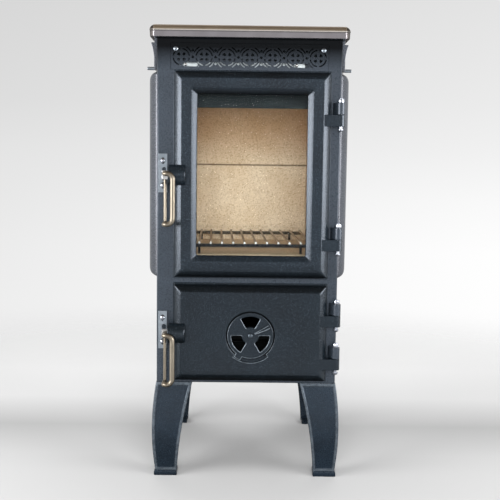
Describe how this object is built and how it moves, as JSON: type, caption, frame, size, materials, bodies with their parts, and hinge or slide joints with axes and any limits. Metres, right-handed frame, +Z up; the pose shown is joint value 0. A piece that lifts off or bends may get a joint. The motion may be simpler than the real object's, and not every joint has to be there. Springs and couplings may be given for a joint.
{
  "type": "wood burning stove",
  "caption": "Free-standing cast-iron wood stove on four curved legs, with a glazed fire door, an ash door with a round air disc, and a polished top rail.",
  "frame": {"origin": "on the floor, at the middle of the stove's footprint in X and Y", "axes": "+Z up, -Y out of the stove's front, +X to the right as seen from the front (the hinge side)"},
  "size_m": [0.398, 0.4412, 0.903],
  "materials": {
    "cast_paint": "satin heat-resistant paint over fine cast grain",
    "sheet_paint": "satin heat-resistant paint on plate",
    "bare_iron": "bare cast iron",
    "polished_rail": "polished steel",
    "polished_grip": "polished steel",
    "zinc_plate": "bright zinc plating",
    "bright_steel": "bright steel",
    "galvanised_pan": "galvanised sheet",
    "refractory": "pale refractory board, matt",
    "rope": "woven glass-fibre rope",
    "heat_glass": "clear ceramic glass"
  },
  "bodies": {
    "stove_body": {"front_plate": "cast_paint", "top_plate": "cast_paint", "flue_collar": "cast_paint", "left_side_panel": "cast_paint", "right_side_panel": "cast_paint", "front_left_leg": "cast_paint", "front_right_leg": "cast_paint", "rear_left_leg": "cast_paint", "rear_right_leg": "cast_paint", "vent_grille": "cast_paint", "left_wall": "sheet_paint", "right_wall": "sheet_paint", "rear_wall": "sheet_paint", "base_plate": "sheet_paint", "air_slide_guide": "sheet_paint", "air_deflector": "sheet_paint", "pan_runners": "sheet_paint", "baffle_plate": "bare_iron", "hearth_plate": "bare_iron", "ash_grate": "bare_iron", "top_rail": "polished_rail", "rear_wall_bolts": "zinc_plate", "flue_bolts": "zinc_plate", "leg_bolts": "zinc_plate", "grille_screws": "zinc_plate", "upper_strike_plate": "zinc_plate", "lower_strike_plate": "zinc_plate", "strike_screws": "zinc_plate", "hinge_bolts": "zinc_plate", "hinge_nuts": "zinc_plate", "side_studs": "bright_steel", "wire_rack": "bright_steel", "ash_pan": "galvanised_pan", "ash_pan_handle": "galvanised_pan", "floor_board": "refractory", "lower_back_board": "refractory", "upper_back_board": "refractory", "left_board": "refractory", "right_board": "refractory"},
    "air_slide": {"air_slide": "bright_steel", "air_slide_knobs": "bright_steel"},
    "hob_lid": {"hob_lid": "cast_paint"},
    "main_door": {"main_door": "cast_paint", "door_glass": "heat_glass", "glass_seal": "rope", "glass_clips": "bright_steel", "glass_screws": "zinc_plate", "main_door_seal": "rope"},
    "main_latch": {"main_catch": "bright_steel", "main_handle": "polished_grip"},
    "ash_door": {"ash_door": "cast_paint", "ash_door_seal": "rope", "disc_rivet": "bright_steel"},
    "ash_latch": {"ash_catch": "bright_steel", "ash_handle": "polished_grip"},
    "air_disc": {"air_disc": "cast_paint"}
  },
  "joints": [
    {"name": "main_door_swing", "type": "hinge", "parent": "stove_body", "child": "main_door", "pos_m": [0.173, -0.18588, 0.592], "axis": [0, 0, 1], "range_deg": [0, 115]},
    {"name": "main_latch_turn", "type": "hinge", "parent": "main_door", "child": "main_latch", "pos_m": [-0.1571, -0.19032, 0.5935], "axis": [-1, 0, 0], "range_deg": [0, 80]},
    {"name": "ash_door_swing", "type": "hinge", "parent": "stove_body", "child": "ash_door", "pos_m": [0.173, -0.18588, 0.29], "axis": [0, 0, 1], "range_deg": [0, 115]},
    {"name": "ash_latch_turn", "type": "hinge", "parent": "ash_door", "child": "ash_latch", "pos_m": [-0.1571, -0.19032, 0.2905], "axis": [-1, 0, 0], "range_deg": [0, 80]},
    {"name": "air_disc_turn", "type": "hinge", "parent": "ash_door", "child": "air_disc", "pos_m": [0.0075, -0.19212, 0.2868], "axis": [0, -1, 0], "range_deg": [0, 60]},
    {"name": "air_slide_shift", "type": "slide", "parent": "stove_body", "child": "air_slide", "axis": [1, 0, 0], "range_m": [0, 0.013]},
    {"name": "hob_lid_lift", "type": "slide", "parent": "stove_body", "child": "hob_lid", "axis": [0, 0, 1], "range_m": [0, 0.06]}
  ]
}
